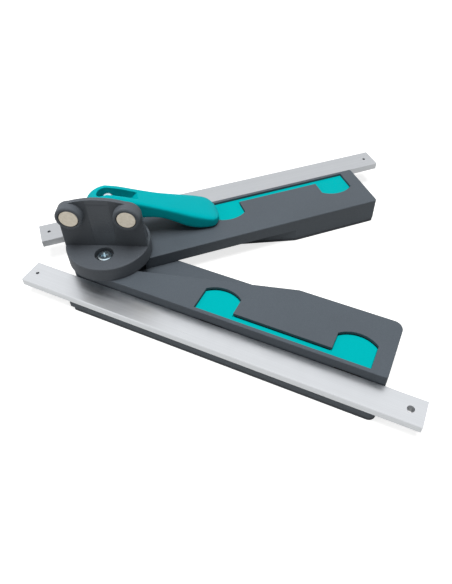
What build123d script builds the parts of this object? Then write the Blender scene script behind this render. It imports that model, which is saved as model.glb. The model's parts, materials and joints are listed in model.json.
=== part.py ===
from build123d import *
import math
import os

# Angle-transferring double bevel.  Millimetres, +Z up, the ground at z = 0.
# The origin is on the ground midway between the two arm pivots, +X runs along the bisector of the
# arms, and the front arm lies on the -Y side.
# Each arm is drawn in its own frame: x runs along the arm from its pivot, y runs inwards to the
# other arm, z is height above the ground.  The rear arm is the mirror image of that frame.

# Folding
OPENING_AT_REST = 45.0
OPENING_CLOSED = 15.0
OPENING_FLAT = 180.0
PIVOT_SPACING = 35.0

# Rails
RAIL_LENGTH = 305.0
RAIL_WIDTH = 20.0
RAIL_THICKNESS = 6.5
RAIL_OVERHANG = 57.0            # rail in front of the pivot
PIVOT_TO_RAIL_FACE = 33.0       # pivot axis to the rail's outer face
RAIL_BOTTOM = {"front": 8.0, "rear": 16.0}
RAIL_CHAMFER = 0.5
RAIL_GAP = 0.3                  # rail to the arm's wall
RAIL_FLOOR_GAP = 0.2            # rail to the ledge under it
NEAR_HOLE_INSET = 7.0
FAR_HOLE_INSET = {"front": 9.5, "rear": 8.0}
SMALL_HOLE_RADIUS = 1.3
HANGING_HOLE_RADIUS = 2.5
SLOT_INSET = 4.0                # rail's inner edge to the middle of the T-slot under it
SLOT_NECK_WIDTH = 2.2
SLOT_NECK_DEPTH = 1.6
SLOT_HEAD_WIDTH = 3.8
SLOT_HEAD_DEPTH = 1.5
TONGUE_PLAY = 0.2
TONGUE_SETBACK = 3.0            # ledge's ends to the tongue's

# Arm casings
ARM_WIDTH = 69.0                # rail's outer face to the arm's inner wall
ARM_REACH = 220.0               # pivot to the arm's far end
ARM_TAIL = {"front": 22.5, "rear": 12.0}   # arm behind its pivot
ARM_TOP = 22.5
SPLIT = {"front": 11.6, "rear": 12.1}      # height where the casing's outline changes
WALL = 2.4
ROOF = 2.4
RELIEF_GAP = 1.2                # between the arms when they are fully closed
INNER_CORNER = {"front": 7.0, "rear": 2.5}
OUTER_CORNER = 2.0
TAIL_CORNER = 1.5
TOP_EDGE = 0.6
LEDGE_START = {"front": -14.5, "rear": 25.0}
LEDGE_CORNER = 5.0
SOLE_THICKNESS = 2.9
SOLE_SETBACK = 3.0              # ledge's left end to the sole's
SOLE_GAP = 0.15
SOLE_INSET = 0.25
RIB = 1.6
RIB_BOTTOM = 8.0
RIB_PLACES = (48.0, 84.0, 104.0, 132.0, 156.0, 184.0, 204.0)

# Sole screws
SCREW_PLACES = ((36.0, -5.0), (112.0, 20.0), (160.0, 29.0), (211.5, 26.0), (212.5, -5.5))
SCREW_RADIUS = 1.4
SCREW_HEAD_RADIUS = 2.8
SCREW_HEAD_DEPTH = 1.5
SCREW_LENGTH = 10.0
SCREW_RECESS = 0.4
SCREW_CROSS = (2.6, 0.7, 1.2)   # length, width and depth of the cross recess
BOSS_RADIUS = 3.4
FIT = 0.05                      # radial clearance of fixed round fits

# Pivots
HUB_RADIUS = 12.5
HUB_TOP = 14.9
HUB_CLEARANCE = 0.4
SHANK_RADIUS = 3.0
RUNNING_FIT = 0.06
BUSH_RADIUS = 5.0
HUB_FLOOR = 6.9
NUT_POCKET_RADIUS = 8.0
NUT_ACROSS_FLATS = 10.0
NUT_BOTTOM = 1.0
NUT_HEIGHT = 4.6
WASHER_RADIUS = 6.5
WASHER_THICKNESS = 1.1
SHANK_END = 0.6

# Sector gears
GEAR_TEETH = 20
TEETH_MADE = 7
ADDENDUM = 1.4
DEDENDUM = 1.8
BACKLASH = 0.3
PRESSURE_ANGLE = 20.0
GEAR_TOP = 22.2
GEAR_HUB_RADIUS = 12.2
GEAR_SCREW_CIRCLE = 8.8
GEAR_SCREW_ANGLES = (245.0, 335.0)
GEAR_SCREW_RADIUS = 1.2
GEAR_SCREW_HEAD = 2.2
GEAR_SCREW_LENGTH = 9.0
GEAR_SCREW_HEAD_HEIGHT = 1.5
GEAR_SEAT_GAP = 0.1
TOOTH_LINE_ANGLE = 27.0         # the other arm's teeth stay beyond this turn at its root circle

# Rail locks
LOCK_START = 80.0
LOCK_END = 208.0
LOCK_TAB = 27.5                 # length of each thumb tab
LOCK_INSET = 2.9                # arm's wall to the lock's bar
LOCK_BAR = 4.1                  # width of the bar
TAB_SIDE = 18.3                 # bar's outer edge to the end of the tab's straight sides
TAB_CROWN = 4.9                 # rise of the tab's round end
LOCK_TOP = 20.5
LOCK_FLANGE_TOP = 19.6
LOCK_FLANGE_BOTTOM = 17.3
LOCK_FLANGE = 1.2
LOCK_TRAVEL = 1.2
LOCK_GAP = 0.35
FOOT_INSET = 4.75               # tab's end to the foot
FOOT_LENGTH = 18.0
FOOT_SHELF = 6.0                # foot's depth behind the pad
PAD_THICKNESS = 3.0
PAD_TO_RAIL = 0.1
PAD_MARGIN = 0.3                # pad's edges inside the rail's edges
PAD_WINDOW_GAP = 0.4
SPRING_RADIUS = 2.2
SPRING_WIRE = 0.5               # radius of the wire
SPRING_LENGTH = 6.0
SPRING_TURNS = 4
SPRING_HEIGHT = 13.8            # spring axis above the ground
SPRING_ROOM = 0.6               # free space round a spring
SPRING_SEAT = 3.0               # thickness of the block that holds a spring

# Head
DISC_RADIUS = 31.9
DISC_OFFSET = -2.4
DISC_BOTTOM = 22.8
DISC_TOP = 34.4
DISC_EDGE = 0.9
BOSS_GAP = 0.1                  # head to the pivot bushes
PIVOT_BOSS_RADIUS = 6.5
COUNTERBORE_RADIUS = 7.2
COUNTERBORE_DEPTH = 4.8
PAN_HEAD_RADIUS = 5.6
PAN_HEAD_HEIGHT = 3.6
PAN_HEAD_EDGE = 1.6
CROSS_WIDTH = 1.3
CROSS_LENGTH = 5.4
CROSS_DEPTH = 2.2
CROSS_TURN = 20.0
FENCE_FACE = -8.5
FENCE_THICKNESS = 4.0
FENCE_BASE_HALF = 31.3          # half the fence's width where it meets the base
FENCE_ARCH = 3.2
FENCE_BACK_EDGE = 1.2
PANEL_WIDTH = 16.5
PANEL_DEPTH = 0.2
MAGNET_RADIUS = 6.9
MAGNET_THICKNESS = 5.0
MAGNET_CHAMFER = 0.3
MAGNET_SPREAD = 20.6            # magnet centres each side of the middle
MAGNET_HEIGHT = 64.5
MAGNET_BOSS_RADIUS = 9.8
MAGNET_BOSS_DEPTH = 6.0
MAGNET_BOSS_EDGE = 1.4
MAGNET_POCKET_GAP = 0.45
MAGNET_SINK = 0.2
GUSSET_PLACES = (-28.4, 28.4)
GUSSET_THICKNESS = 2.4
GUSSET_DEPTH = 9.0
GUSSET_TOP = 58.0

# Clamp
CAM_PLATE_RADIUS = 11.0
CAM_PLATE_THICKNESS = 1.8
CAM_GAP = 0.1
SEAT_GAP = 0.02                 # between pieces that rest on each other
CAM_RADIUS = 14.0
PIN_ABOVE_CAM_CENTRE = 3.0
PIN_RADIUS = 4.0
PIN_SHORTFALL = 0.4             # pin's ends inside the lever's cheeks
DOME_RADIUS = 4.3
DOME_HEIGHT = 5.6
DOME_EDGE = 3.4
LEVER_HEADING = 19.0            # lever's direction from the bisector
LEVER_CAM_WIDTH = 20.5
LEVER_WAIST_WIDTH = 22.0
LEVER_PADDLE_WIDTH = 29.0
LEVER_REACH = 84.5
LEVER_SLOT_WIDTH = 9.4
LEVER_SLOT_REACH = 20.0
LEVER_SLOT_RIM = 3.6            # lever left between the slot and the cam's end
RELEASE_SPRING_RADIUS = 4.4
RELEASE_SPRING_WIRE = 0.55
RELEASE_SPRING_HEIGHT = 7.0
RELEASE_SPRING_TURNS = 4

# Worked out from the values above
RAIL_FACE = -PIVOT_TO_RAIL_FACE
RAIL_BACK = RAIL_FACE + RAIL_WIDTH
WALL_FACE = RAIL_BACK + RAIL_GAP
INNER_FACE = RAIL_FACE + ARM_WIDTH
PITCH_RADIUS = PIVOT_SPACING / 2
TIP_RADIUS = PITCH_RADIUS + ADDENDUM
ROOT_RADIUS = PITCH_RADIUS - DEDENDUM
FENCE_TOP_HALF = MAGNET_SPREAD + MAGNET_BOSS_RADIUS
CAM_PLATE_TOP = DISC_TOP + CAM_PLATE_THICKNESS
CAM_CENTRE = CAM_PLATE_TOP + CAM_GAP + CAM_RADIUS
PIN_HEIGHT = CAM_CENTRE + PIN_ABOVE_CAM_CENTRE
SIDES = {"front": -1, "rear": 1}


def slab(face, low, high):
    """A flat outline carried from one height to another."""
    return extrude(Pos(0, 0, low) * face, amount=high - low, dir=(0, 0, 1))


def block(x, y, z):
    """A box between the given pairs of limits."""
    size = [limits[1] - limits[0] for limits in (x, y, z)]
    middle = [(limits[0] + limits[1]) / 2 for limits in (x, y, z)]
    return Pos(*middle) * Box(*size)


def rod(radius, low, high, at=(0, 0)):
    """An upright cylinder."""
    return Pos(at[0], at[1], (low + high) / 2) * Cylinder(radius, high - low)


def polar(radius, degrees):
    """A plan point at an angle about the pivot."""
    turn = math.radians(degrees)
    return (radius * math.cos(turn), radius * math.sin(turn))


def wedge(start, end):
    """A plan sector about the pivot, wide enough to hold the whole arm's end."""
    reach = 3 * PIVOT_SPACING
    steps = 4
    rim = [polar(reach, start + (end - start) * i / steps) for i in range(steps + 1)]
    return Polygon((0, 0), *rim, align=None)


def other_hub_path(radius):
    """Plan area that a disc on the other pivot sweeps as the arms turn, in this arm's frame."""
    first = 90 + OPENING_CLOSED / 2
    last = 90 + OPENING_FLAT / 2
    ring = Circle(PIVOT_SPACING + radius) - Circle(PIVOT_SPACING - radius)
    area = ring & wedge(first, last)
    for angle in (first, last):
        area += Pos(*polar(PIVOT_SPACING, angle)) * Circle(radius)
    return area


def relief_height(x):
    """y of the oblique wall, which lies along the other arm's inner wall when the arms are closed."""
    closed = math.radians(OPENING_CLOSED)
    half = closed / 2
    level = PIVOT_SPACING * math.cos(half) - INNER_FACE / math.cos(closed)
    return level + (x + PIVOT_SPACING * math.sin(half)) * math.tan(closed) - RELIEF_GAP


def relief_end():
    """x where the oblique wall meets the arm's straight inner wall."""
    slope = relief_height(1) - relief_height(0)
    return (INNER_FACE - relief_height(0)) / slope


def full_plan(side, clear_radius):
    """Plan of the arm's full-width layer, cut away for the other arm's hub."""
    tail = -ARM_TAIL[side]
    plan = Polygon((tail, WALL_FACE), (ARM_REACH, WALL_FACE), (ARM_REACH, INNER_FACE), (tail, INNER_FACE),
                   align=None)
    return plan - other_hub_path(clear_radius)


def cut_plan(side, clear_radius):
    """Plan of the arm's other layer, cut along the oblique wall."""
    tail = -ARM_TAIL[side]
    plan = Polygon((tail, WALL_FACE), (ARM_REACH, WALL_FACE), (ARM_REACH, INNER_FACE),
                   (relief_end(), INNER_FACE), (tail, relief_height(tail)), align=None)
    return plan - other_hub_path(clear_radius)


def layer_plans(side):
    """Lower and upper plans: the front arm is wide below, the rear arm is wide above."""
    # The other arm's teeth only reach the part of the tail beyond this line.
    tooth_line = -ROOT_RADIUS * math.sin(math.radians(TOOTH_LINE_ANGLE))
    teeth_side = Pos(0, PIVOT_SPACING * 2 + tooth_line) * Rectangle(PIVOT_SPACING * 8, PIVOT_SPACING * 4)
    hub = HUB_RADIUS + HUB_CLEARANCE
    tooth_area = other_hub_path(TIP_RADIUS + HUB_CLEARANCE) & teeth_side
    if side == "front":
        return full_plan(side, hub), cut_plan(side, hub) - tooth_area
    return cut_plan(side, hub), full_plan(side, hub) - tooth_area


def ledge_plan(side, start_shift=0.0, inset=0.0):
    """Plan of the ledge under the rail."""
    start = LEDGE_START[side] + start_shift
    outer = RAIL_FACE + inset
    corner = LEDGE_CORNER
    end = ARM_REACH - inset
    edge = Polyline((start, WALL_FACE + WALL), (start, outer), (end - corner, outer))
    bend = RadiusArc((end - corner, outer), (end, outer + corner), -corner)
    back = Polyline((end, outer + corner), (end, WALL_FACE + WALL), (start, WALL_FACE + WALL))
    return make_face([edge.edges(), bend.edge(), back.edges()])


def tab_outline(start, grow):
    """Plan of one thumb tab, grown outwards by a margin."""
    base = WALL_FACE + LOCK_INSET - grow
    left = start - grow
    right = start + LOCK_TAB + grow
    shoulder = WALL_FACE + LOCK_INSET + TAB_SIDE
    crown = shoulder + TAB_CROWN + grow
    sides = Polyline((left, shoulder), (left, base), (right, base), (right, shoulder))
    end = ThreePointArc((right, shoulder), ((left + right) / 2, crown), (left, shoulder))
    return make_face([sides.edges(), end.edge()])


def lock_plan(grow=0.0, travel=0.0, back=None):
    """Plan of the lock: a thin bar with a tab at each end.  travel stretches it inwards."""
    if back is None:
        back = grow
    base = WALL_FACE + LOCK_INSET - back
    top = WALL_FACE + LOCK_INSET + LOCK_BAR + grow + travel
    bar = Polygon((LOCK_START, base), (LOCK_END, base), (LOCK_END, top), (LOCK_START, top), align=None)
    plan = bar
    for start in (LOCK_START, LOCK_END - LOCK_TAB):
        tab = tab_outline(start, grow)
        plan += tab
        if travel:
            plan += Pos(0, travel) * tab
    behind = Polygon((0, base), (ARM_REACH, base), (ARM_REACH, base - ARM_WIDTH), (0, base - ARM_WIDTH),
                     align=None)
    return plan - behind


def pad_limits(side):
    """Heights of the lock's pads: as tall as the rail, but kept under the arm's roof."""
    low = RAIL_BOTTOM[side] + PAD_MARGIN
    high = min(RAIL_BOTTOM[side] + RAIL_THICKNESS - PAD_MARGIN, ARM_TOP - ROOF - PAD_WINDOW_GAP)
    return low, high


def foot_spans():
    """x limits of the lock's two feet, one under each tab."""
    first = LOCK_START + FOOT_INSET
    second = LOCK_END - LOCK_TAB + FOOT_INSET
    return [(x, x + FOOT_LENGTH) for x in (first, second)]


def t_bar(neck_width, head_width, x_limits, heights):
    """A T-shaped bar along the rail, at three heights: the neck's foot, the head's foot and the top."""
    foot, head_foot, top = heights
    middle = RAIL_BACK - SLOT_INSET
    neck = block(x_limits, (middle - neck_width / 2, middle + neck_width / 2), (foot, head_foot))
    head = block(x_limits, (middle - head_width / 2, middle + head_width / 2), (head_foot, top))
    return neck + head


def make_rail(side):
    """Flat aluminium rail with a T-slot under it and a hole near each end."""
    low = RAIL_BOTTOM[side]
    x_limits = (-RAIL_OVERHANG, RAIL_LENGTH - RAIL_OVERHANG)
    bar = block(x_limits, (RAIL_FACE, RAIL_BACK), (low, low + RAIL_THICKNESS))
    bar = chamfer(bar.edges().filter_by(Axis.X), RAIL_CHAMFER)
    neck_top = low + SLOT_NECK_DEPTH
    bar -= t_bar(SLOT_NECK_WIDTH, SLOT_HEAD_WIDTH, x_limits, (low, neck_top, neck_top + SLOT_HEAD_DEPTH))
    far_radius = {"front": HANGING_HOLE_RADIUS, "rear": SMALL_HOLE_RADIUS}[side]
    holes = (
        (x_limits[0] + NEAR_HOLE_INSET, SMALL_HOLE_RADIUS),
        (x_limits[1] - FAR_HOLE_INSET[side], far_radius),
    )
    for x, radius in holes:
        bar -= rod(radius, low - 1, low + RAIL_THICKNESS + 1, (x, (RAIL_FACE + RAIL_BACK) / 2))
    return bar


def make_tongue(side):
    """T-shaped tongue on the ledge, which the rail's slot slides along."""
    low = RAIL_BOTTOM[side]
    head_foot = low + SLOT_NECK_DEPTH + TONGUE_PLAY
    top = low + SLOT_NECK_DEPTH + SLOT_HEAD_DEPTH - TONGUE_PLAY
    x_limits = (LEDGE_START[side] + TONGUE_SETBACK, ARM_REACH - TONGUE_SETBACK)
    return t_bar(SLOT_NECK_WIDTH - 2 * TONGUE_PLAY, SLOT_HEAD_WIDTH - 2 * TONGUE_PLAY, x_limits,
                 (low - RAIL_FLOOR_GAP - 1, head_foot, top))


def round_plan_corners(body, side):
    """Round the upright corners of the arm's ends."""
    ends = [
        ((ARM_REACH, INNER_FACE), INNER_CORNER[side]),
        ((ARM_REACH, WALL_FACE), OUTER_CORNER),
        ((-ARM_TAIL[side], WALL_FACE), TAIL_CORNER),
    ]
    for (x, y), radius in ends:
        upright = [edge for edge in body.edges().filter_by(Axis.Z)
                   if abs(edge.center().X - x) < 0.01 and abs(edge.center().Y - y) < 0.01]
        if upright:
            body = fillet(upright, radius)
    return body


def is_outer_or_far(point, side):
    """True on the arm's outer wall and round its far end."""
    outer = point.Y < WALL_FACE + OUTER_CORNER and point.X > 0
    return outer or point.X > ARM_REACH - INNER_CORNER[side]


def first_tooth(side):
    """Angle of a sector gear's first tooth; a tooth of one gear faces a gap of the other."""
    pitch_angle = 360 / GEAR_TEETH
    steps = {"front": 2, "rear": 1.5}[side]
    return 90 + OPENING_AT_REST / 2 - steps * pitch_angle


def gear_pocket(side):
    """Plan area kept free for this arm's own sector gear."""
    pitch_angle = 360 / GEAR_TEETH
    start = first_tooth(side) - pitch_angle / 2
    end = first_tooth(side) + TEETH_MADE * pitch_angle
    hub = Circle(GEAR_HUB_RADIUS + HUB_CLEARANCE)
    teeth = Circle(TIP_RADIUS + HUB_CLEARANCE) & wedge(start, end)
    return hub + teeth


def spring_seats():
    """Blocks of the casing that the lock springs push against."""
    low = RIB_BOTTOM
    seats = []
    for span in foot_spans():
        middle = (span[0] + span[1]) / 2
        back = foot_back() + SPRING_LENGTH
        seats.append(block((middle - SPRING_RADIUS - RIB, middle + SPRING_RADIUS + RIB),
                           (back, back + SPRING_SEAT), (low, ARM_TOP - ROOF)))
        # A low wall ties the seat to the ribs on both sides of the tab.
        seats.append(block(span, (back, back + SPRING_SEAT), (low, LOCK_FLANGE_BOTTOM - LOCK_GAP)))
    return seats


def foot_back():
    """y of the lock feet's inner face, where the springs push."""
    return WALL_FACE + LOCK_INSET + FOOT_SHELF


def foot_bottom(side):
    """Lower end of the lock's feet, below both the pads and the springs."""
    return min(pad_limits(side)[0], SPRING_HEIGHT - SPRING_RADIUS - SPRING_ROOM)


def make_casing(side):
    """Moulded arm shell, open below, with ribs, screw bosses, hub and the recess for the lock."""
    lower, upper = layer_plans(side)
    split = SPLIT[side]
    floor = SOLE_THICKNESS + SOLE_GAP
    body = slab(lower, floor, split) + slab(upper, split, ARM_TOP)
    body = round_plan_corners(body, side)
    top_rim = body.faces().sort_by(Axis.Z)[-1].outer_wire().edges()
    body = fillet([edge for edge in top_rim if is_outer_or_far(edge.center(), side)], TOP_EDGE)
    ledge_top = RAIL_BOTTOM[side] - RAIL_FLOOR_GAP
    body += slab(ledge_plan(side), floor, ledge_top)
    body += rod(HUB_RADIUS, floor, HUB_TOP)

    # Hollow inside, leaving the walls, the roof and the ribs.
    shared = offset(cut_plan(side, TIP_RADIUS + HUB_CLEARANCE + WALL), -WALL)
    hollow = slab(shared, 0, ARM_TOP - ROOF)
    wide = offset(full_plan(side, TIP_RADIUS + HUB_CLEARANCE + WALL), -WALL)
    if side == "front":
        hollow += slab(wide, 0, split - ROOF)
    else:
        hollow += slab(wide, split + ROOF, ARM_TOP - ROOF)
    hollow -= rod(HUB_RADIUS + WALL, 0, ARM_TOP)
    for x in RIB_PLACES:
        hollow -= block((x - RIB / 2, x + RIB / 2), (WALL_FACE, INNER_FACE), (RIB_BOTTOM, ARM_TOP))
    for seat in spring_seats():
        hollow -= seat
    for place in SCREW_PLACES:
        hollow -= rod(BOSS_RADIUS, 0, ARM_TOP, place)
    body -= hollow
    wall_strip = Pos(0, WALL_FACE + WALL / 2) * Rectangle(3 * ARM_REACH, WALL)
    under_ledge = offset(ledge_plan(side), -WALL) - wall_strip
    body -= slab(under_ledge, 0, ledge_top - WALL)
    body += make_tongue(side)

    # Space for the lock, its feet, pads and springs, over their whole travel.
    opening = lock_plan(grow=LOCK_GAP, travel=LOCK_TRAVEL, back=0.1)
    body -= slab(opening, LOCK_FLANGE_TOP, ARM_TOP + 1)
    flange = lock_plan(grow=LOCK_FLANGE + LOCK_GAP, travel=LOCK_TRAVEL, back=LOCK_GAP)
    body -= slab(flange, LOCK_FLANGE_BOTTOM - LOCK_GAP, LOCK_FLANGE_TOP + LOCK_GAP)
    low, high = pad_limits(side)
    spring_half = SPRING_RADIUS + SPRING_ROOM
    for x0, x1 in foot_spans():
        wide_x = (x0 - PAD_WINDOW_GAP, x1 + PAD_WINDOW_GAP)
        body -= block(wide_x, (WALL_FACE + WALL - 0.1, foot_back() + LOCK_TRAVEL + LOCK_GAP),
                      (foot_bottom(side) - PAD_WINDOW_GAP, LOCK_FLANGE_BOTTOM + PAD_WINDOW_GAP))
        body -= block(wide_x, (RAIL_BACK - 1, WALL_FACE + WALL + 1),
                      (low - PAD_WINDOW_GAP, high + PAD_WINDOW_GAP))
        middle = (x0 + x1) / 2
        body -= block((middle - spring_half, middle + spring_half),
                      (foot_back(), foot_back() + SPRING_LENGTH),
                      (SPRING_HEIGHT - spring_half, LOCK_FLANGE_BOTTOM))

    # Hub, gear seat and screw holes.
    body -= slab(gear_pocket(side), HUB_TOP, ARM_TOP + 1)
    body -= rod(NUT_POCKET_RADIUS, 0, HUB_FLOOR)
    body -= rod(BUSH_RADIUS + FIT, 0, ARM_TOP)
    for angle in GEAR_SCREW_ANGLES:
        at = polar(GEAR_SCREW_CIRCLE, angle)
        body -= rod(GEAR_SCREW_RADIUS + FIT, GEAR_TOP - GEAR_SCREW_LENGTH - 1, ARM_TOP, at)
    for place in SCREW_PLACES:
        body -= rod(SCREW_RADIUS + FIT, 0, SCREW_RECESS + SCREW_LENGTH + 1, place)
    return body


def make_sole(side):
    """Flat cover under the arm, which the tool stands on."""
    lower, _ = layer_plans(side)
    plan = offset(lower, -SOLE_INSET) + Circle(HUB_RADIUS - SOLE_INSET)
    plan += ledge_plan(side, SOLE_SETBACK, SOLE_INSET)
    sole = slab(plan, 0, SOLE_THICKNESS)
    corner = [edge for edge in sole.edges().filter_by(Axis.Z)
              if edge.center().X > ARM_REACH - 1 and edge.center().Y > INNER_FACE - 1]
    if corner:
        sole = fillet(corner, INNER_CORNER[side])
    sole -= rod(NUT_POCKET_RADIUS + SOLE_INSET, -1, HUB_FLOOR)
    for place in SCREW_PLACES:
        sole -= rod(SCREW_RADIUS + FIT, -1, HUB_FLOOR, place)
        sole -= screw_head(place, FIT)
        sole -= rod(SCREW_HEAD_RADIUS + FIT, -1, SCREW_RECESS, place)
    return sole


def screw_head(place, margin=0.0):
    """Countersunk head, wide end down."""
    cone = Cone(SCREW_HEAD_RADIUS + margin, SCREW_RADIUS + margin, SCREW_HEAD_DEPTH)
    return Pos(place[0], place[1], SCREW_RECESS + SCREW_HEAD_DEPTH / 2) * cone


def make_sole_screws():
    """Countersunk screws that hold the sole to the casing."""
    screws = []
    for place in SCREW_PLACES:
        shank = rod(SCREW_RADIUS, SCREW_RECESS + SCREW_HEAD_DEPTH / 2, SCREW_RECESS + SCREW_LENGTH, place)
        screw = screw_head(place) + shank
        for turn in (0, 90):
            screw -= Pos(place[0], place[1], SCREW_RECESS) * Rot(0, 0, turn) * Box(*SCREW_CROSS)
        screws.append(screw)
    return screws


def tooth(middle_angle):
    """Plan of one gear tooth with involute flanks, at an angle about the pivot."""
    base_radius = PITCH_RADIUS * math.cos(math.radians(PRESSURE_ANGLE))
    pitch_roll = math.tan(math.radians(PRESSURE_ANGLE))
    thickness = math.pi * PITCH_RADIUS / GEAR_TEETH - BACKLASH / 2
    half_at_base = thickness / (2 * PITCH_RADIUS) + pitch_roll - math.atan(pitch_roll)
    tip_roll = math.sqrt((TIP_RADIUS / base_radius) ** 2 - 1)
    steps = 4
    flank = [(ROOT_RADIUS - 0.5, half_at_base)]
    for i in range(steps + 1):
        roll = tip_roll * i / steps
        flank.append((base_radius * math.sqrt(1 + roll ** 2), half_at_base - roll + math.atan(roll)))
    right = [polar(radius, middle_angle - math.degrees(turn)) for radius, turn in flank]
    left = [polar(radius, middle_angle + math.degrees(turn)) for radius, turn in reversed(flank)]
    return Polygon(*right, *left, align=None)


def make_gear(side):
    """Sector gear that keeps both arms at the same angle to the head."""
    pitch_angle = 360 / GEAR_TEETH
    first = first_tooth(side)
    last = first + (TEETH_MADE - 1) * pitch_angle
    rim = Circle(ROOT_RADIUS) & wedge(first - pitch_angle / 3, last + pitch_angle / 3)
    plan = Circle(GEAR_HUB_RADIUS) + rim
    for i in range(TEETH_MADE):
        plan += tooth(first + i * pitch_angle)
    gear = slab(plan, HUB_TOP + GEAR_SEAT_GAP, GEAR_TOP)
    gear -= rod(BUSH_RADIUS + FIT, 0, ARM_TOP)
    for angle in GEAR_SCREW_ANGLES:
        at = polar(GEAR_SCREW_CIRCLE, angle)
        gear -= rod(GEAR_SCREW_RADIUS + FIT, 0, ARM_TOP, at)
        gear -= rod(GEAR_SCREW_HEAD + FIT, gear_screw_seat(), ARM_TOP, at)
    return gear


def gear_screw_seat():
    """Height of the counterbore that a gear screw's head sits in, just below the gear's top."""
    return GEAR_TOP - GEAR_SEAT_GAP - GEAR_SCREW_HEAD_HEIGHT


def make_gear_screws():
    """Cheese-head screws that hold the sector gear on the hub."""
    screws = []
    seat = gear_screw_seat()
    for angle in GEAR_SCREW_ANGLES:
        at = polar(GEAR_SCREW_CIRCLE, angle)
        head = rod(GEAR_SCREW_HEAD, seat, seat + GEAR_SCREW_HEAD_HEIGHT, at)
        shank = rod(GEAR_SCREW_RADIUS, GEAR_TOP - GEAR_SCREW_LENGTH, seat + GEAR_SCREW_HEAD_HEIGHT / 2, at)
        screws.append(head + shank)
    return screws


def make_bush():
    """Plain bearing bush pressed through the hub and the gear."""
    return rod(BUSH_RADIUS, HUB_FLOOR, ARM_TOP - BOSS_GAP) - rod(SHANK_RADIUS + RUNNING_FIT, 0, ARM_TOP)


def make_lock(side):
    """Moulded rail lock: bar, two thumb tabs, a hidden flange and two feet that carry the pads."""
    lock = slab(lock_plan(), LOCK_FLANGE_BOTTOM, LOCK_TOP)
    lock += slab(lock_plan(grow=LOCK_FLANGE, back=0.0), LOCK_FLANGE_BOTTOM, LOCK_FLANGE_TOP)
    pad_back = RAIL_BACK + PAD_TO_RAIL + PAD_THICKNESS
    for span in foot_spans():
        lock += block(span, (pad_back, foot_back()), (foot_bottom(side), LOCK_FLANGE_BOTTOM + 1))
    return lock


def make_pads(side):
    """Rubber pads on the lock's feet, which grip the rail's inner edge."""
    low, high = pad_limits(side)
    front = RAIL_BACK + PAD_TO_RAIL
    return [block(span, (front, front + PAD_THICKNESS), (low, high)) for span in foot_spans()]


def coil(radius, wire, height, turns):
    """Open coil spring standing on z = 0."""
    path = Helix(height / turns, height, radius)
    section = Plane(origin=path @ 0, z_dir=path % 0) * Circle(wire)
    return sweep(section, path=path)


def make_lock_springs():
    """Small coil springs that push the lock towards the rail."""
    springs = []
    gap = SPRING_WIRE + 0.1
    for span in foot_spans():
        middle = (span[0] + span[1]) / 2
        spring = coil(SPRING_RADIUS - SPRING_WIRE, SPRING_WIRE, SPRING_LENGTH - 2 * gap, SPRING_TURNS)
        springs.append(Pos(middle, foot_back() + gap, SPRING_HEIGHT) * Rot(-90, 0, 0) * spring)
    return springs


def on_pivot(shape, side):
    """Move a shape drawn about the Z axis to an arm's pivot."""
    return Pos(0, SIDES[side] * PIVOT_SPACING / 2, 0) * shape


def place(shape, side):
    """Carry a shape from an arm's own frame to where the arm rests."""
    if side == "rear":
        shape = mirror(shape, about=Plane.XZ)
    turn = SIDES[side] * OPENING_AT_REST / 2
    return Pos(0, SIDES[side] * PIVOT_SPACING / 2, 0) * Rot(0, 0, turn) * shape


def fence_outline():
    """Front view of the upright fence, tapered a little, round about the magnets and arched between them."""
    base = FENCE_BASE_HALF
    half = FENCE_TOP_HALF
    spread = MAGNET_SPREAD
    height = MAGNET_HEIGHT
    radius = MAGNET_BOSS_RADIUS
    bend = radius * math.sin(math.radians(45))
    foot = DISC_TOP - DISC_EDGE - 1
    crown = height + radius
    edges = [
        Line((-base, foot), (-half, height)),
        ThreePointArc((-half, height), (-spread - bend, height + bend), (-spread, crown)),
        ThreePointArc((-spread, crown), (0, crown + FENCE_ARCH), (spread, crown)),
        ThreePointArc((spread, crown), (spread + bend, height + bend), (half, height)),
        Line((half, height), (base, foot)),
        Line((base, foot), (-base, foot)),
    ]
    return make_face([edge.edge() for edge in edges])


def upright_slab(face, front, back):
    """A front-view outline carried from one depth to another."""
    return extrude(Plane.XZ.offset(-back) * face, amount=back - front)


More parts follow.
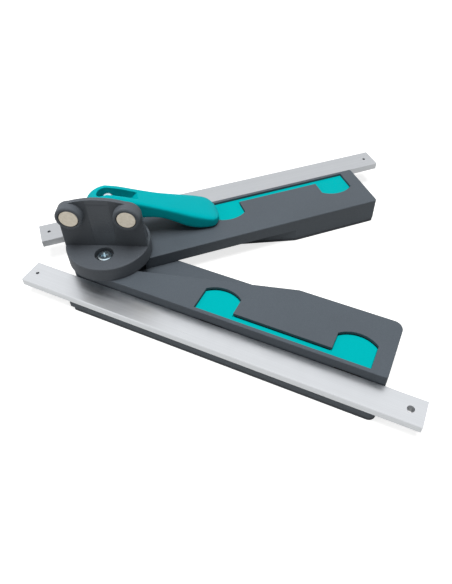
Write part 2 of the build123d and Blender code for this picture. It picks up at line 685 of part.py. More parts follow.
def make_head():
    """Head: round base over both pivots and the upright fence with its magnet bosses."""
    base = rod(DISC_RADIUS, DISC_BOTTOM, DISC_TOP, (0, DISC_OFFSET))
    base = fillet(base.edges().group_by(Axis.Z)[-1], DISC_EDGE)
    fence_back = FENCE_FACE + FENCE_THICKNESS
    fence = upright_slab(fence_outline(), FENCE_FACE, fence_back)
    back_rim = [edge for edge in fence.edges().group_by(Axis.Y)[-1] if edge.center().Z > DISC_TOP]
    fence = fillet(back_rim, FENCE_BACK_EDGE)
    panel_height = MAGNET_HEIGHT + MAGNET_BOSS_RADIUS - 1 - DISC_TOP
    panel_middle = DISC_TOP + panel_height / 2
    fence -= block((-PANEL_WIDTH / 2, PANEL_WIDTH / 2), (FENCE_FACE - 1, FENCE_FACE + PANEL_DEPTH),
                   (panel_middle - panel_height / 2, panel_middle + panel_height / 2))
    head = base + fence
    for x in (-MAGNET_SPREAD, MAGNET_SPREAD):
        ring = upright_slab(Pos(x, MAGNET_HEIGHT) * Circle(MAGNET_BOSS_RADIUS), FENCE_FACE - MAGNET_BOSS_DEPTH,
                            FENCE_FACE + 1)
        ring = fillet(ring.edges().sort_by(Axis.Y)[0], MAGNET_BOSS_EDGE)
        pocket_depth = MAGNET_THICKNESS + MAGNET_SINK
        pocket = upright_slab(Pos(x, MAGNET_HEIGHT) * Circle(MAGNET_RADIUS + MAGNET_POCKET_GAP),
                              FENCE_FACE - MAGNET_BOSS_DEPTH - 1, FENCE_FACE - MAGNET_BOSS_DEPTH + pocket_depth)
        head = head + ring - pocket
    for x in GUSSET_PLACES:
        side_view = Polygon((fence_back - 1, DISC_TOP - 1), (fence_back + GUSSET_DEPTH, DISC_TOP - 1),
                            (fence_back + GUSSET_DEPTH, DISC_TOP + 2), (fence_back, GUSSET_TOP),
                            (fence_back - 1, GUSSET_TOP), align=None)
        web = extrude(Plane.YZ * side_view, amount=GUSSET_THICKNESS / 2, both=True)
        head += Pos(x, 0, 0) * web
    for side in SIDES:
        head += on_pivot(rod(PIVOT_BOSS_RADIUS, ARM_TOP, DISC_BOTTOM + 1), side)
        head -= on_pivot(rod(SHANK_RADIUS + 2 * RUNNING_FIT, 0, DISC_TOP + 1), side)
    head -= on_pivot(rod(COUNTERBORE_RADIUS, DISC_TOP - COUNTERBORE_DEPTH, DISC_TOP + 1), "front")
    spring_room = RELEASE_SPRING_RADIUS + RELEASE_SPRING_WIRE + SPRING_ROOM / 2
    head -= on_pivot(rod(spring_room, DISC_TOP - RELEASE_SPRING_HEIGHT, DISC_TOP + 1), "rear")
    return head


def make_magnet(x):
    """Disc magnet seated in the bottom of its cup."""
    back = FENCE_FACE - MAGNET_BOSS_DEPTH + MAGNET_SINK + MAGNET_THICKNESS
    disc = upright_slab(Pos(x, MAGNET_HEIGHT) * Circle(MAGNET_RADIUS), back - MAGNET_THICKNESS, back)
    return chamfer(disc.edges().sort_by(Axis.Y)[0], MAGNET_CHAMFER)


def hexagon(low, high):
    """Hexagon nut or bolt-head body about the Z axis."""
    return slab(RegularPolygon(NUT_ACROSS_FLATS / math.sqrt(3), 6), low, high)


def make_pivot_screw():
    """Pan-head screw with a cross recess, through the head and the front arm."""
    seat = DISC_TOP - COUNTERBORE_DEPTH
    pan = rod(PAN_HEAD_RADIUS, seat, seat + PAN_HEAD_HEIGHT)
    pan = fillet(pan.edges().group_by(Axis.Z)[-1], PAN_HEAD_EDGE)
    for turn in (CROSS_TURN, CROSS_TURN + 90):
        groove = Box(CROSS_LENGTH, CROSS_WIDTH, 2 * CROSS_DEPTH)
        pan -= Pos(0, 0, seat + PAN_HEAD_HEIGHT) * Rot(0, 0, turn) * groove
    return on_pivot(pan + rod(SHANK_RADIUS, SHANK_END, seat + 0.5), "front")


def make_pivot_nut():
    """Lock nut under the front arm's hub."""
    nut = hexagon(NUT_BOTTOM, NUT_BOTTOM + NUT_HEIGHT) - rod(SHANK_RADIUS + FIT / 2, 0, ARM_TOP)
    return on_pivot(nut, "front")


def make_washer(side):
    """Washer between an arm's hub and the nut or bolt head below it."""
    low = NUT_BOTTOM + NUT_HEIGHT
    ring = rod(WASHER_RADIUS, low, low + WASHER_THICKNESS) - rod(SHANK_RADIUS + FIT, 0, ARM_TOP)
    return on_pivot(ring, side)


def make_clamp_bolt():
    """Hexagon bolt through the rear arm and the head, up to the lever's pin."""
    top = PIN_HEIGHT + PIN_RADIUS + DOME_HEIGHT / 2
    bolt = hexagon(NUT_BOTTOM, NUT_BOTTOM + NUT_HEIGHT) + rod(SHANK_RADIUS, NUT_BOTTOM + 1, top)
    return on_pivot(bolt, "rear")


def on_lever(shape):
    """Carry a shape from the lever's own frame, x along the lever and z up from its pin, to its place."""
    at = Pos(0, PIVOT_SPACING / 2, PIN_HEIGHT) * Rot(0, 0, LEVER_HEADING)
    return at * shape


def cross_rod(radius, length):
    """A cylinder along the lever's pin."""
    return Rot(90, 0, 0) * Cylinder(radius, length)


def make_lever_pin():
    """Barrel that the lever turns on, bored for the clamp bolt."""
    pin = cross_rod(PIN_RADIUS, LEVER_CAM_WIDTH - 2 * PIN_SHORTFALL)
    return on_lever(pin - Cylinder(SHANK_RADIUS + FIT, 4 * PIN_RADIUS))


def make_dome_nut():
    """Domed nut on the end of the clamp bolt."""
    low = PIN_RADIUS + SEAT_GAP
    dome = rod(DOME_RADIUS, low, low + DOME_HEIGHT)
    dome = fillet(dome.edges().group_by(Axis.Z)[-1], DOME_EDGE)
    bore = rod(SHANK_RADIUS + FIT, 0, PIN_RADIUS + DOME_HEIGHT / 2 + 0.1)
    return on_lever(dome - bore)


def make_cam_plate():
    """Hard plate that the lever's cam bears on."""
    plate = rod(CAM_PLATE_RADIUS, DISC_TOP + SEAT_GAP, CAM_PLATE_TOP)
    plate -= rod(SHANK_RADIUS + 2 * RUNNING_FIT, 0, CAM_PLATE_TOP + 1)
    return on_pivot(plate, "rear")


def make_release_spring():
    """Coil spring under the cam plate, which lifts it when the lever is opened."""
    gap = RELEASE_SPRING_WIRE + 0.1
    height = RELEASE_SPRING_HEIGHT - 2 * gap
    spring = coil(RELEASE_SPRING_RADIUS, RELEASE_SPRING_WIRE, height, RELEASE_SPRING_TURNS)
    return on_pivot(Pos(0, 0, DISC_TOP - RELEASE_SPRING_HEIGHT + gap) * spring, "rear")


def lever_side_view():
    """Side view of the lever in its own frame: round cam, sloping neck, flat thumb paddle."""
    cam_z = -PIN_ABOVE_CAM_CENTRE
    reach = LEVER_REACH
    start = (CAM_RADIUS * math.sin(math.radians(12)), cam_z + CAM_RADIUS * math.cos(math.radians(12)))
    bottom = (0.0, cam_z - CAM_RADIUS)
    cam = ThreePointArc(bottom, (-CAM_RADIUS, cam_z), start)
    top = Spline(start, (0.35 * reach, -1.4), (0.62 * reach, -10.4), (0.92 * reach, -20.6),
                 tangents=[(1, -0.30), (1, -0.38)])
    tip = ThreePointArc((0.92 * reach, -20.6), (reach, -25.6), (0.95 * reach, -28.4))
    under = Spline((0.95 * reach, -28.4), (0.78 * reach, -28.6), (0.57 * reach, -19.8), (0.36 * reach, -11.8),
                   (0.2 * reach, -12.6), bottom, tangents=[(-1, -0.1), (-1, 0)])
    return make_face([cam.edge(), top.edge(), tip.edge(), under.edge()])


def lever_plan():
    """Plan of the lever in its own frame, widening from the cam to the paddle."""
    cam = LEVER_CAM_WIDTH / 2
    waist = LEVER_WAIST_WIDTH / 2
    paddle = LEVER_PADDLE_WIDTH / 2
    reach = LEVER_REACH
    tail = -CAM_RADIUS - 1
    near = [(tail, -cam), (0.12 * reach, -cam)]
    near_side = Spline(near[1], (0.45 * reach, -waist), (0.75 * reach, -paddle), (0.91 * reach, -0.92 * paddle),
                       tangents=[(1, 0), (1, 0.35)])
    end = ThreePointArc((0.91 * reach, -0.92 * paddle), (reach, 0), (0.91 * reach, 0.92 * paddle))
    far_side = Spline((0.91 * reach, 0.92 * paddle), (0.75 * reach, paddle), (0.45 * reach, waist),
                      (near[1][0], cam), tangents=[(-1, 0.35), (-1, 0)])
    edges = [Line(*near).edge(), near_side.edge(), end.edge(), far_side.edge(),
             Line((near[1][0], cam), (tail, cam)).edge(), Line((tail, cam), near[0]).edge()]
    return make_face(edges)


def make_lever():
    """Moulded cam lever with a slotted cam end."""
    lever = extrude(Plane.XZ * lever_side_view(), amount=LEVER_PADDLE_WIDTH, both=True)
    lever &= slab(lever_plan(), -2 * CAM_RADIUS - 10, 2 * CAM_RADIUS)
    half_slot = LEVER_SLOT_WIDTH / 2
    shank_room = SHANK_RADIUS + 0.4
    # The bolt swings from straight down to straight back, the dome nut from straight up to forwards.
    lever -= block((-CAM_RADIUS - 2, shank_room), (-half_slot, half_slot),
                   (-CAM_RADIUS * 2, shank_room))
    lever -= block((-CAM_RADIUS + LEVER_SLOT_RIM, LEVER_SLOT_REACH), (-half_slot, half_slot),
                   (-shank_room - 1, 2 * CAM_RADIUS))
    lever -= cross_rod(PIN_RADIUS + RUNNING_FIT, 2 * LEVER_CAM_WIDTH)
    return on_lever(lever)


def write(name, shape):
    """Write one node, a single solid or a group of alike solids."""
    solids = shape if isinstance(shape, list) else [shape]
    group = Compound(children=[solid for item in solids for solid in item.solids()])
    group.label = name
    export_step(group, f"parts/{name}.step")


def write_arm(side):
    """Write every piece of one arm."""
    pieces = {
        "arm_casing": make_casing(side),
        "arm_sole": make_sole(side),
        "sole_screws": make_sole_screws(),
        "rail": make_rail(side),
        "sync_gear": make_gear(side),
        "gear_screws": make_gear_screws(),
        "pivot_bush": make_bush(),
        "rail_lock": make_lock(side),
        "lock_pads": make_pads(side),
        "lock_springs": make_lock_springs(),
    }
    for name, shape in pieces.items():
        group = shape if isinstance(shape, list) else [shape]
        write(f"{side}_{name}", [place(item, side) for item in group])


def main():
    os.makedirs("parts", exist_ok=True)
    for side in SIDES:
        write_arm(side)
    write("head_bracket", make_head())
    write("left_magnet", make_magnet(-MAGNET_SPREAD))
    write("right_magnet", make_magnet(MAGNET_SPREAD))
    write("front_pivot_screw", make_pivot_screw())
    write("front_pivot_nut", make_pivot_nut())
    write("front_pivot_washer", make_washer("front"))
    write("clamp_bolt", make_clamp_bolt())
    write("clamp_bolt_washer", make_washer("rear"))
    write("lever_pin", make_lever_pin())
    write("dome_nut", make_dome_nut())
    write("cam_plate", make_cam_plate())
    write("release_spring", make_release_spring())
    write("cam_lever", make_lever())


main()
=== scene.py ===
import json
import math

import bmesh
import bpy
import numpy as np
from mathutils import Matrix, Vector


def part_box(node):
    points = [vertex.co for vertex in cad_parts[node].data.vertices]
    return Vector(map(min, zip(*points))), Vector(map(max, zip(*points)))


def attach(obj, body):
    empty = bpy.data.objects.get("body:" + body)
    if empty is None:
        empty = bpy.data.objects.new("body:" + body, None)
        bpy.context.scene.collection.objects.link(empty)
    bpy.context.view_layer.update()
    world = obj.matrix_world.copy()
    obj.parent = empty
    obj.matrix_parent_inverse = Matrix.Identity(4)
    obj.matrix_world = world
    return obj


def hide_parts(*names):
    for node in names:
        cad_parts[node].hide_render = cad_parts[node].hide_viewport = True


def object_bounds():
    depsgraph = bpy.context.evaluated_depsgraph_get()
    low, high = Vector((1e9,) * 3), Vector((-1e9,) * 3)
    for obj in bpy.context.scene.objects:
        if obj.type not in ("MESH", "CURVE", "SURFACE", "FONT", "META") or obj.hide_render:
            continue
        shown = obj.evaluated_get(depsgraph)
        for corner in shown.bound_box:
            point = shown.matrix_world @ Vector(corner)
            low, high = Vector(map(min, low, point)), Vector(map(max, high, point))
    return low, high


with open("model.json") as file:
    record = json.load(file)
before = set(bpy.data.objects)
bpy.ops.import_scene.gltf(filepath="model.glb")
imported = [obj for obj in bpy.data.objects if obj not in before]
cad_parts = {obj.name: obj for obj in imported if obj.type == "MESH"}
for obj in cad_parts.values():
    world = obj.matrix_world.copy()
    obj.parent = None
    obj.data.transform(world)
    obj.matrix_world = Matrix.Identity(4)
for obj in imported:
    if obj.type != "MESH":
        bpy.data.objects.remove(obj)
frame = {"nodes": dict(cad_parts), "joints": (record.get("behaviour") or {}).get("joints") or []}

CAD_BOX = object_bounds()
CENTRE = (CAD_BOX[0] + CAD_BOX[1]) / 2
MM = 0.001

# At rest each arm lies this far from the tool's centre line.
ARM_TURN = math.radians(22.5)

# The smooth strip on the fence's front: half its width, how far below the fence's top it starts
# and ends its fade, how far it reaches behind a magnet's back, and how soft its sides are.
STRIP_HALF = 8.25 * MM
STRIP_FADE = (30 * MM, 40 * MM)
STRIP_REACH = 1.5 * MM
STRIP_SOFT = 0.2 * MM

# Light: what the plain surround gives the tool, and what the floor adds for metal (its glow) and
# for the camera (its lift, which grows to 1 between two distances in metres).
WHITE = (1.0, 1.0, 1.0, 1.0)
PAPER = (0.56, 0.56, 0.55, 1.0)
SURROUND = 0.16
FLOOR_GLOW = 0.08
FLOOR_LIFT = 0.76
FLOOR_FADE = (0.4, 0.9)
FLOOR_HALF = 3.0
FLOOR_DROP = 0.05 * MM

# Each soft box: its place from the tool's centre, its width in metres and its watts.
SOFT_BOXES = [("overhead_softbox", (0.05, 0.0, 1.55), 1.0, 28.5),
              ("left_softbox", (-1.3, -0.2, 0.8), 0.8, 4.0)]

# Camera: its place from the tool's centre, the way it looks, and its lens.
CAMERA_PLACE = (0.03392, -0.30306, 0.27179)
CAMERA_FORWARD = (-0.01631, 0.68447, -0.72886)
CAMERA_ROLL = 0.2
CAMERA_LENS = 42.58
CAMERA_SHIFT = (-0.0464, -0.0210)


# ---------------------------------------------------------------- node helpers

def add(tree, kind, sockets=None, **settings):
    """One shader node, with its settings, and each socket given a value or linked to an output."""
    made = tree.nodes.new(kind)
    for name, value in settings.items():
        setattr(made, name, value)
    for name, value in (sockets or {}).items():
        target = made.inputs[name]
        if isinstance(value, bpy.types.NodeSocket):
            tree.links.new(value, target)
        else:
            target.default_value = value
    return made


def blank_material(name):
    """A material with an empty node tree and its output node."""
    material = bpy.data.materials.new(name)
    material.use_nodes = True
    tree = material.node_tree
    tree.nodes.clear()
    return material, tree, add(tree, "ShaderNodeOutputMaterial")


def noise(tree, where, scale, detail=2.0, rough=0.5):
    """Noise factor at a number of features per metre."""
    found = add(tree, "ShaderNodeTexNoise", {"Vector": where, "Scale": scale, "Detail": detail,
                                             "Roughness": rough})
    return found.outputs["Fac"]


def spread(tree, factor, low, high, start=0.3, end=0.7):
    """Maps a factor from start to end onto low to high along a straight line, held beyond both."""
    made = add(tree, "ShaderNodeMapRange", {"Value": factor, "From Min": start, "From Max": end,
                                            "To Min": low, "To Max": high})
    return made.outputs["Result"]


def blend_colours(tree, factor, first, second):
    """Mixes two colours, each a triple or an output."""
    made = add(tree, "ShaderNodeMix", data_type="RGBA")
    values = {"Factor": factor, "A": first, "B": second}
    for socket in made.inputs:
        if socket.enabled and socket.name in values:
            value = values[socket.name]
            if isinstance(value, bpy.types.NodeSocket):
                tree.links.new(value, socket)
            elif socket.type == "RGBA":
                socket.default_value = (*value, 1.0)
            else:
                socket.default_value = value
    return [s for s in made.outputs if s.enabled][0]


def calc(tree, operation, first, second=0.5):
    """One sum on two values, each a number or an output."""
    made = add(tree, "ShaderNodeMath", operation=operation)
    for socket, value in zip(made.inputs, (first, second)):
        if isinstance(value, bpy.types.NodeSocket):
            tree.links.new(value, socket)
        else:
            socket.default_value = value
    return made.outputs[0]


def edge_share(tree, radius):
    """How close a point is to an edge, with the normal rounded over that edge.  The share is 0
    where the rounded and the true normal agree, and 1 where their dot product falls to 0.72."""
    rounded = add(tree, "ShaderNodeBevel", {"Radius": radius}, samples=6)
    true = add(tree, "ShaderNodeNewGeometry")
    dot = add(tree, "ShaderNodeVectorMath", operation="DOT_PRODUCT")
    tree.links.new(rounded.outputs["Normal"], dot.inputs[0])
    tree.links.new(true.outputs["True Normal"], dot.inputs[1])
    share = spread(tree, dot.outputs["Value"], 1.0, 0.0, 0.72, 1.0)
    return share, rounded.outputs["Normal"]


def times(colour, factor):
    """A colour made paler or darker by a factor, and no paler than white."""
    return tuple(min(1.0, c * factor) for c in colour)


def shade(tree, out, values, relief, depth, strength, rounded):
    """Gives a material its shader: the values it is told, with a fine relief on the rounded
    normal."""
    bump = add(tree, "ShaderNodeBump", {"Height": relief, "Distance": depth,
                                        "Strength": strength, "Normal": rounded})
    shell = add(tree, "ShaderNodeBsdfPrincipled", {**values, "Normal": bump.outputs["Normal"]})
    tree.links.new(shell.outputs[0], out.inputs["Surface"])


# ---------------------------------------------------------------- finishes

def strip_share(tree, where):
    """1 on the smooth strip up the middle of the fence's front, 0 elsewhere, with soft sides."""
    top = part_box("head_bracket")[1].z
    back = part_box("left_magnet")[1].y + STRIP_REACH
    apart = add(tree, "ShaderNodeSeparateXYZ", {"Vector": where})
    across = calc(tree, "ABSOLUTE", apart.outputs["X"])
    inside = spread(tree, across, 1.0, 0.0, STRIP_HALF - STRIP_SOFT, STRIP_HALF + STRIP_SOFT)
    above = spread(tree, apart.outputs["Z"], 0.0, 1.0, top - STRIP_FADE[1], top - STRIP_FADE[0])
    front = spread(tree, apart.outputs["Y"], 1.0, 0.0, back - STRIP_SOFT, back + STRIP_SOFT)
    return calc(tree, "MULTIPLY", calc(tree, "MULTIPLY", inside, front), above)


def moulded(name, colour, lift, rough, grain=1500.0, grain_depth=0.012, wear_and_highlight=0.85, gloss=0.22,
            strip=None):
    """Moulded plastic: a spark-eroded grain, faint flow marks, and edges rubbed smoother and
    painted paler, partly as wear and partly as a painted highlight.
    The flow marks take the colour from darker to paler by the lift, and the grain darkens it by its
    depth in millimetres.  Where a strip is given, it is left smoother and painted a little paler, a
    painted sheen."""
    material, tree, out = blank_material(name)
    where = add(tree, "ShaderNodeTexCoord").outputs["Object"]
    flow = noise(tree, where, scale=26.0, detail=3.0)
    speck = noise(tree, where, scale=grain, detail=1.0)
    edge, rounded = edge_share(tree, radius=0.55 * MM)
    patches = noise(tree, where, scale=160.0, detail=3.0)
    rub_and_highlight = calc(tree, "MULTIPLY", edge, spread(tree, patches, 0.25, 1.0))
    base = blend_colours(tree, spread(tree, flow, 0.0, 1.0), times(colour, 1 / lift),
                         times(colour, lift))
    base = blend_colours(tree, spread(tree, speck, 0.0, grain_depth * 22), base,
                         times(colour, 0.6))
    # Edges are painted paler here: partly wear, partly a painted highlight along the rims.
    worn_and_highlit = tuple(min(1.0, c * 1.5 + 0.012) for c in colour)
    base = blend_colours(tree, calc(tree, "MULTIPLY", rub_and_highlight, wear_and_highlight), base, worn_and_highlit)
    shine = calc(tree, "ADD", spread(tree, flow, rough - 0.05, rough + 0.05),
                 spread(tree, speck, -0.03, 0.03))
    shine = calc(tree, "SUBTRACT", shine, calc(tree, "MULTIPLY", rub_and_highlight, 0.1))
    if strip:
        smooth_and_sheen = strip(tree, where)
        # The strip is painted paler: a painted sheen on its smoother plastic.
        base = blend_colours(tree, calc(tree, "MULTIPLY", smooth_and_sheen, 0.4), base,
                             times(colour, 1.45))
        shine = calc(tree, "SUBTRACT", shine, calc(tree, "MULTIPLY", smooth_and_sheen, 0.2))
    values = {"Base Color": base, "Roughness": shine, "Specular IOR Level": gloss}
    shade(tree, out, values, speck, grain_depth * MM, 0.6, rounded)
    return material


def drawn_metal(name, colour, turn, rough=0.34, along=3.0, across=700.0):
    """Satin anodised extrusion: fine die lines along its length, a few stronger ones, faint
    handling marks, and a painted highlight along its edges.  The lines are noise that is stretched
    along the piece, once its coordinates are turned back by the arm's angle."""
    material, tree, out = blank_material(name)
    where = add(tree, "ShaderNodeTexCoord").outputs["Object"]
    turned = add(tree, "ShaderNodeMapping", {"Vector": where, "Rotation": (0.0, 0.0, turn)},
                 vector_type="POINT").outputs[0]
    lines = add(tree, "ShaderNodeMapping", {"Vector": turned, "Scale": (along, across, across)},
                vector_type="POINT")
    fine = noise(tree, lines.outputs[0], scale=2.2, detail=3.0, rough=0.6)
    wider = (along / 3, across / 7, across / 7)
    broad = add(tree, "ShaderNodeMapping", {"Vector": turned, "Scale": wider},
                vector_type="POINT")
    strong = noise(tree, broad.outputs[0], scale=1.0, detail=2.0)
    marks = noise(tree, where, scale=75.0, detail=4.0)
    edge, rounded = edge_share(tree, radius=0.25 * MM)
    base = blend_colours(tree, spread(tree, fine, 0.0, 1.0), times(colour, 0.96),
                         times(colour, 1.03))
    base = blend_colours(tree, spread(tree, strong, 0.0, 0.2), base, times(colour, 0.9))
    # Painted highlight: the edges are painted paler, standing in for the light the chamfers catch.
    base = blend_colours(tree, edge, base, times(colour, 1.35))
    shine = calc(tree, "ADD", spread(tree, fine, rough - 0.05, rough + 0.06),
                 spread(tree, marks, -0.03, 0.05))
    values = {"Base Color": base, "Roughness": shine, "Metallic": 1.0}
    shade(tree, out, values, fine, 0.004 * MM, 0.5, rounded)
    return material


def plated(name, first, second, rough, cloud=220.0):
    """Plated metal: two tints that cloud into each other, fine tumbling marks, and a painted
    highlight on the edges.
    """
    material, tree, out = blank_material(name)
    where = add(tree, "ShaderNodeTexCoord").outputs["Object"]
    clouds = noise(tree, where, scale=cloud, detail=3.0)
    marks = noise(tree, where, scale=2600.0, detail=2.0)
    edge, rounded = edge_share(tree, radius=0.2 * MM)
    base = blend_colours(tree, spread(tree, clouds, 0.0, 1.0), first, second)
    # Painted highlight: the edges are painted paler than the first tint.
    base = blend_colours(tree, calc(tree, "MULTIPLY", edge, 0.5), base, times(first, 1.25))
    shine = calc(tree, "ADD", spread(tree, clouds, rough - 0.06, rough + 0.06),
                 spread(tree, marks, -0.04, 0.04))
    values = {"Base Color": base, "Roughness": shine, "Metallic": 1.0}
    shade(tree, out, values, marks, 0.003 * MM, 0.5, rounded)
    return material


def srgb(red, green, blue):
    """Linear colour from a 0 to 255 screen colour: a straight part near black, and above it a power
    of 2.4."""
    shares = np.array([red, green, blue]) / 255.0
    linear = np.where(shares <= 0.04045, shares / 12.92, ((shares + 0.055) / 1.055) ** 2.4)
    return tuple(float(v) for v in linear)


BODY_GREY = srgb(84, 91, 98)
SOLE_GREY = srgb(74, 79, 85)
HEAD_GREY = srgb(86, 91, 97)
TEAL = srgb(0, 172, 175)
LEVER_TEAL = srgb(0, 171, 178)
ALUMINIUM = srgb(224, 227, 231)
# The rear rail's colour is the same aluminium painted darker: a painted shade for its less lit
# sides.
PAINTED_SHADE_ALUMINIUM = srgb(200, 203, 207)

FINISHES = {
    "arm": moulded("fine_grained_dark_grey", BODY_GREY, 1.05, 0.52),
    "sole": moulded("darker_grey_sole", SOLE_GREY, 1.06, 0.56),
    "head": moulded("dark_grey_head", HEAD_GREY, 1.05, 0.50, strip=strip_share),
    "lock": moulded("teal_lock", TEAL, 1.04, 0.46, grain_depth=0.006, wear_and_highlight=0.1, gloss=0.05),
    "lever": moulded("teal_lever", LEVER_TEAL, 1.04, 0.44, grain_depth=0.006, wear_and_highlight=0.1, gloss=0.05),
    "gear": moulded("black_acetal", srgb(40, 41, 43), 1.08, 0.42, wear_and_highlight=0.1),
    "rubber": moulded("matt_black_rubber", srgb(34, 34, 35), 1.12, 0.8, grain=900.0,
                      grain_depth=0.03),
    "front_rail": drawn_metal("front_anodised_extrusion", ALUMINIUM, ARM_TURN),
    "rear_rail": drawn_metal("rear_anodised_extrusion", PAINTED_SHADE_ALUMINIUM, -ARM_TURN),
    "zinc": plated("bright_zinc_plate", srgb(214, 240, 255), srgb(238, 245, 245), 0.29),
    "nickel": plated("nickel_plate", srgb(219, 211, 197), srgb(206, 198, 182), 0.36,
                     cloud=420.0),
    "bush": plated("plain_bronze", srgb(190, 150, 96), srgb(168, 126, 76), 0.4),
    "wire": plated("bright_spring_wire", srgb(190, 192, 196), srgb(160, 163, 168), 0.3),
}


def finish_for(node):
    """The finish of a CAD node, from what the piece is."""
    endings = [
        ("arm_casing", "arm"), ("arm_sole", "sole"), ("head_bracket", "head"),
        ("rail_lock", "lock"), ("cam_lever", "lock"), ("sync_gear", "gear"),
        ("lock_pads", "rubber"), ("magnet", "nickel"), ("pivot_bush", "bush"),
        ("springs", "wire"), ("release_spring", "wire"), ("front_rail", "front_rail"),
        ("rear_rail", "rear_rail"),
    ]
    for ending, finish in endings:
        if node.endswith(ending):
            return finish
    return "zinc"


for node, piece in frame["nodes"].items():
    for place in piece.material_slots:
        place.material = FINISHES[finish_for(node)]


# ---------------------------------------------------------------- cam lever

def smooth_through(points, at):
    """A smooth curve through points at rising places: cubic pieces whose slope at each point is
    worked out from its two neighbours."""
    x, y = np.array(points, float).T
    slope = np.gradient(y, x)
    i = np.clip(np.searchsorted(x, at) - 1, 0, len(x) - 2)
    width = x[i + 1] - x[i]
    t = np.clip((at - x[i]) / width, 0.0, 1.0)
    rise = t * t * (3 - 2 * t)
    return (y[i] * (1 - rise) + y[i + 1] * rise
            + width * t * (1 - t) * (slope[i] * (1 - t) - slope[i + 1] * t))


def closed_rings(rings):
    """Vertices and faces of a closed skin over an array of rings, each end fanned to its middle."""
    count, around = rings.shape[:2]
    points = np.vstack([rings.reshape(-1, 3), rings[0].mean(0), rings[-1].mean(0)])
    i, j = np.meshgrid(np.arange(count - 1), np.arange(around), indexing="ij")
    k = (j + 1) % around
    near, far = i * around, (i + 1) * around
    quads = np.stack([near + j, near + k, far + k, far + j], -1)
    edge = np.arange(around)
    after = (edge + 1) % around
    first = np.full(around, count * around)
    last = first + 1
    start = np.stack([first, after, edge], -1)
    base = (count - 1) * around
    end = np.stack([last, base + edge, base + after], -1)
    return points, quads.reshape(-1, 4).tolist() + start.tolist() + end.tolist()


def lever_axes():
    """The lever's pin centre and its directions along, across and up, as the rows of a matrix."""
    low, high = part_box("lever_pin")
    joint = [j for j in frame["joints"] if j["name"] == "lever_open"][0]
    axis = np.array(joint["axis"], float)
    along = np.array([-axis[1], axis[0], 0.0])
    return np.array((low + high) / 2), np.stack([along, -axis, [0.0, 0.0, 1.0]])


def lever_skin():
    """Rounded skin of the lever, in millimetres along, across and up from its pin.  Each ring is a
    rounded oblong: its share of the half width and its share of the half height, both raised to
    the same power, add up to one.  The power falls from 8 near the cam to 6 near the tip.  The half
    height is half the space between a top and a bottom curve, and over the cam's end it follows an
    ellipse.  Past the start of the tip both halves fall to nothing, as one less a power of the
    way gone, under a root."""
    tail, reach, tip_start = -16.4, 85.0, 74.0
    cam_half_height, cam_middle = 14.7, -2.3
    ring_count, ring_points = 150, 96
    half_turn = np.linspace(0.0, np.pi, ring_count)
    u = tail + (reach - tail) * (1 - np.cos(half_turn)) / 2
    top = smooth_through([(0, 12.4), (8, 9.6), (20, 4.0), (40, -5.2), (50, -9.3), (58, -12.6),
                          (67, -16.3), (76, -20.2), (85, -24.2)], np.maximum(u, 0.0))
    under = smooth_through([(0, -17.0), (6, -15.6), (12, -12.9), (20, -11.6), (27, -12.3),
                            (39, -15.8), (47, -20.4), (55.5, -25.8), (64, -29.0), (74, -30.2),
                            (85, -30.4)], np.maximum(u, 0.0))
    half_height = (top - under) / 2
    middle = (top + under) / 2
    over_cam = u < 0
    half_height[over_cam] = cam_half_height * np.sqrt(np.clip(1 - (u[over_cam] / tail) ** 2, 0, 1))
    middle[over_cam] = cam_middle
    tip = np.clip((u - tip_start) / (reach - tip_start), 0.0, 1.0)
    half_height = half_height * np.clip(1 - tip ** 4, 0, 1) ** 0.5
    half_width = smooth_through([(-16, 10.2), (0, 10.2), (12, 10.3), (28, 10.6), (40, 11.5),
                                 (52, 13.4), (63, 15.2), (74, 15.8), (85, 15.2)], u)
    half_width = half_width * np.clip(1 - tip ** 2.6, 0, 1) ** (1 / 2.2)
    sharp = 8.0 - 2.0 * np.clip((u - 20.0) / 40.0, 0.0, 1.0)
    around = np.linspace(0.0, 2 * np.pi, ring_points, endpoint=False)
    power = (2 / sharp)[:, None]
    across = np.sign(np.cos(around)) * np.abs(np.cos(around)) ** power * half_width[:, None]
    upward = np.sign(np.sin(around)) * np.abs(np.sin(around)) ** power * half_height[:, None]
    along = np.repeat(u[:, None], len(around), 1)
    rings = np.stack([along, across, upward + middle[:, None]], -1)
    return rings[1:-1]


def trough_skin(start, end, half, top, floor):
    """A cutter from start to end along the lever, as rings of four corners.  In plan its ends are
    half circles as wide as the cutter: the first ring is a little inside the end, where the width
    would be nothing.  Its bottom joins the floor's (along, height) points by straight lines."""
    turn = np.linspace(0.12, np.pi / 2, 14)
    inset = half * (1 - np.cos(turn))
    corners = [point[0] for point in floor if start + half < point[0] < end - half]
    u = np.concatenate([start + inset, corners, end - inset[::-1]])
    near = np.clip(np.minimum(u - start, end - u) / half, 0.0, 1.0)
    b = half * np.sqrt(1 - (1 - near) ** 2)
    w = np.interp(u, *np.array(floor, float).T)
    roof = np.full_like(u, top)
    return np.stack([np.stack([u, -b, w], -1), np.stack([u, b, w], -1),
                     np.stack([u, b, roof], -1), np.stack([u, -b, roof], -1)], 1)


def round_skin(radius, half, sides=64):
    """A cylinder across the lever, for cutting: a circle at each end."""
    turn = np.linspace(0.0, 2 * np.pi, sides, endpoint=False)
    return np.stack([np.stack([radius * np.cos(turn), np.full(sides, v), radius * np.sin(turn)], -1)
                     for v in (-half, half)])


def mesh_object(name, rings):
    """An object from rings in the lever's own millimetres.  Each point goes to the pin's centre
    plus its distances along, across and up, each times that direction."""
    origin, axes = lever_axes()
    points, faces = closed_rings(rings)
    mesh = bpy.data.meshes.new(name)
    mesh.from_pydata((points * MM @ axes + origin).tolist(), [], faces)
    mesh.update()
    made = bpy.data.objects.new(name, mesh)
    bpy.context.scene.collection.objects.link(made)
    outward(mesh)
    return made


def outward(mesh):
    """Turns every face of a closed mesh outwards."""
    work = bmesh.new()
    work.from_mesh(mesh)
    bmesh.ops.remove_doubles(work, verts=work.verts, dist=1e-7)
    bmesh.ops.recalc_face_normals(work, faces=work.faces)
    work.to_mesh(mesh)
    work.free()


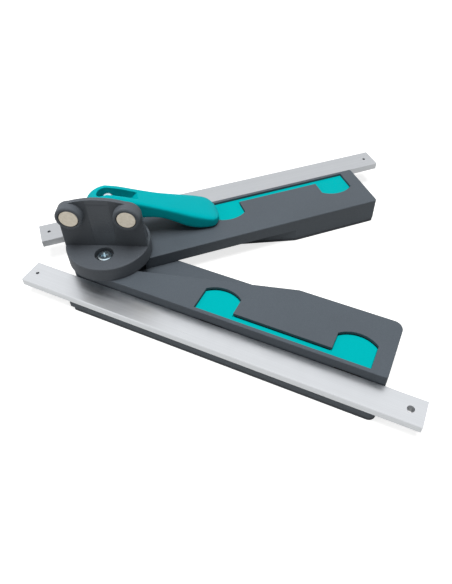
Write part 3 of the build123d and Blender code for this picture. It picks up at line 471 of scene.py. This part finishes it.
def make_lever():
    """The cam lever: the rounded skin, less a slot for the clamp bolt's end, room below it for the
    bolt while the lever lifts, and the hole for the pin."""
    lever = mesh_object("cam_lever_body", lever_skin())
    slot = trough_skin(start=-7.6, end=25.6, half=4.7, top=30.0,
                       floor=[(14.0, -4.4), (25.0, 5.0)])
    bolt_room = trough_skin(start=-40.0, end=4.6, half=4.72, top=3.4,
                            floor=[(-40.0, -30.0), (4.6, -30.0)])
    pin_hole = round_skin(radius=4.06, half=20.0)
    cutters = [mesh_object("slot_cutter", slot), mesh_object("bolt_room_cutter", bolt_room),
               mesh_object("pin_hole_cutter", pin_hole)]
    for cutter in cutters:
        cut = lever.modifiers.new(cutter.name, "BOOLEAN")
        cut.operation = "DIFFERENCE"
        cut.solver = "EXACT"
        cut.object = cutter
    bpy.context.view_layer.update()
    whole = lever.evaluated_get(bpy.context.evaluated_depsgraph_get())
    mesh = bpy.data.meshes.new_from_object(whole)
    lever.modifiers.clear()
    lever.data = mesh
    for cutter in cutters:
        bpy.data.objects.remove(cutter)
    outward(mesh)
    mesh.shade_smooth()
    mesh.set_sharp_from_angle(angle=math.radians(38))
    mesh.materials.clear()
    mesh.materials.append(FINISHES["lever"])
    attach(lever, "lever")
    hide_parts("cam_lever")


make_lever()


# ---------------------------------------------------------------- floor, light and camera

def studio_floor():
    """A wide pale square just under the tool, which the camera sees as white apart from the soft
    shadow.  Its light is paper plus a glow: for the camera one that grows with the distance from
    the origin, and for metal a small one."""
    corners = np.array([[-1, -1], [1, -1], [1, 1], [-1, 1]]) * FLOOR_HALF
    level = np.full(4, CAD_BOX[0].z - FLOOR_DROP)
    points = np.column_stack([corners + np.array(CENTRE[:2]), level])
    mesh = bpy.data.meshes.new("studio_floor")
    mesh.from_pydata(points.tolist(), [], [(0, 1, 2, 3)])
    floor = bpy.data.objects.new("studio_floor", mesh)
    bpy.context.scene.collection.objects.link(floor)
    material, tree, out = blank_material("white_paper_floor")
    paper = add(tree, "ShaderNodeBsdfDiffuse", {"Color": PAPER})
    seen = add(tree, "ShaderNodeLightPath").outputs
    direct = calc(tree, "MAXIMUM", seen["Is Camera Ray"], seen["Is Transmission Ray"])
    where = add(tree, "ShaderNodeTexCoord").outputs["Object"]
    away = add(tree, "ShaderNodeVectorMath", {"Vector": where}, operation="LENGTH").outputs["Value"]
    whiter = spread(tree, away, FLOOR_LIFT, 1.0, *FLOOR_FADE)
    lift = calc(tree, "ADD", calc(tree, "MULTIPLY", direct, whiter),
                calc(tree, "MULTIPLY", seen["Is Glossy Ray"], FLOOR_GLOW))
    glow = add(tree, "ShaderNodeEmission", {"Color": WHITE, "Strength": lift})
    both = add(tree, "ShaderNodeAddShader")
    tree.links.new(paper.outputs[0], both.inputs[0])
    tree.links.new(glow.outputs[0], both.inputs[1])
    tree.links.new(both.outputs[0], out.inputs["Surface"])
    mesh.materials.append(material)


def studio_world():
    """An even surround: plain light on the tool, and white where the camera or a metal sees it."""
    world = bpy.data.worlds.new("white_surround")
    bpy.context.scene.world = world
    world.use_nodes = True
    tree = world.node_tree
    tree.nodes.clear()
    seen = add(tree, "ShaderNodeLightPath").outputs
    lift = calc(tree, "MAXIMUM", seen["Is Camera Ray"], seen["Is Glossy Ray"])
    lift = calc(tree, "MAXIMUM", lift, seen["Is Transmission Ray"])
    strength = spread(tree, lift, SURROUND, 1.0, 0.0, 1.0)
    surround = add(tree, "ShaderNodeBackground", {"Color": WHITE, "Strength": strength})
    out = add(tree, "ShaderNodeOutputWorld")
    tree.links.new(surround.outputs[0], out.inputs["Surface"])


def soft_lamp(name, place, size, power):
    """A square soft box that faces the middle of the tool."""
    lamp = bpy.data.lights.new(name, "AREA")
    lamp.size = size
    lamp.energy = power
    holder = bpy.data.objects.new(name, lamp)
    bpy.context.scene.collection.objects.link(holder)
    holder.visible_glossy = False
    holder.location = CENTRE + Vector(place)
    holder.rotation_euler = (-Vector(place)).to_track_quat("-Z", "Y").to_euler()


def studio_camera():
    """The camera, placed from the middle of the tool's box.  Its right and up are the level ones,
    turned by the roll about the way it looks."""
    forward = Vector(CAMERA_FORWARD).normalized()
    level = forward.cross(Vector((0.0, 0.0, 1.0))).normalized()
    upright = level.cross(forward)
    roll = math.radians(CAMERA_ROLL)
    right = level * math.cos(roll) + upright * math.sin(roll)
    up = upright * math.cos(roll) - level * math.sin(roll)
    axes = Matrix((right, up, -forward)).transposed().to_4x4()
    lens = bpy.data.cameras.new("studio_camera")
    lens.sensor_fit = "HORIZONTAL"
    lens.sensor_width = 36.0
    lens.lens = CAMERA_LENS
    lens.shift_x, lens.shift_y = CAMERA_SHIFT
    lens.clip_start = 0.01
    lens.clip_end = 20.0
    camera = bpy.data.objects.new("studio_camera", lens)
    bpy.context.scene.collection.objects.link(camera)
    camera.matrix_world = Matrix.Translation(CENTRE + Vector(CAMERA_PLACE)) @ axes
    bpy.context.scene.camera = camera


bpy.context.scene.view_settings.view_transform = "Standard"
studio_floor()
studio_world()
for box in SOFT_BOXES:
    soft_lamp(*box)
studio_camera()
